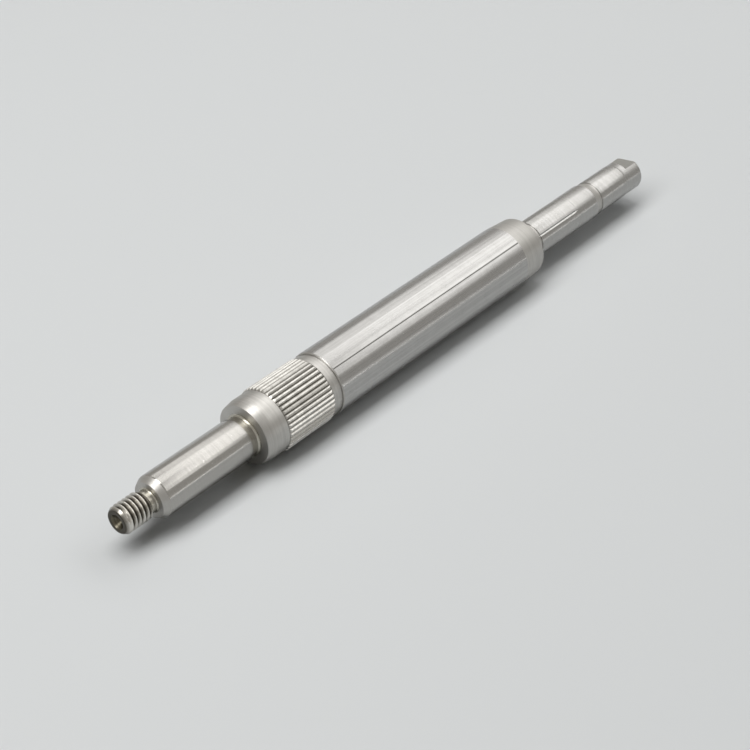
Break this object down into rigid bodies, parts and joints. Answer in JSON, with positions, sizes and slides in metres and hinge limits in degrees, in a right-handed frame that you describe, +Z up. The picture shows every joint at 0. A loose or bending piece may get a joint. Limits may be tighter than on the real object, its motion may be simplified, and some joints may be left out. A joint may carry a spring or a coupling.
{
  "type": "turned shaft",
  "caption": "Stepped steel shaft with a threaded end, front journal, straight knurl, long ground body, staking grooves on the tail seat and a drive flat.",
  "frame": {"origin": "on the shaft's axis, at the middle of its length", "axes": "+X along the axis from the threaded end to the tail, +Z up as the shaft lies on a surface, the drive flat facing nearly up"},
  "size_m": [0.158, 0.014, 0.014],
  "materials": {
    "steel": "satin ground and turned"
  },
  "bodies": {
    "root": {"turned_shaft": "steel"}
  },
  "joints": []
}
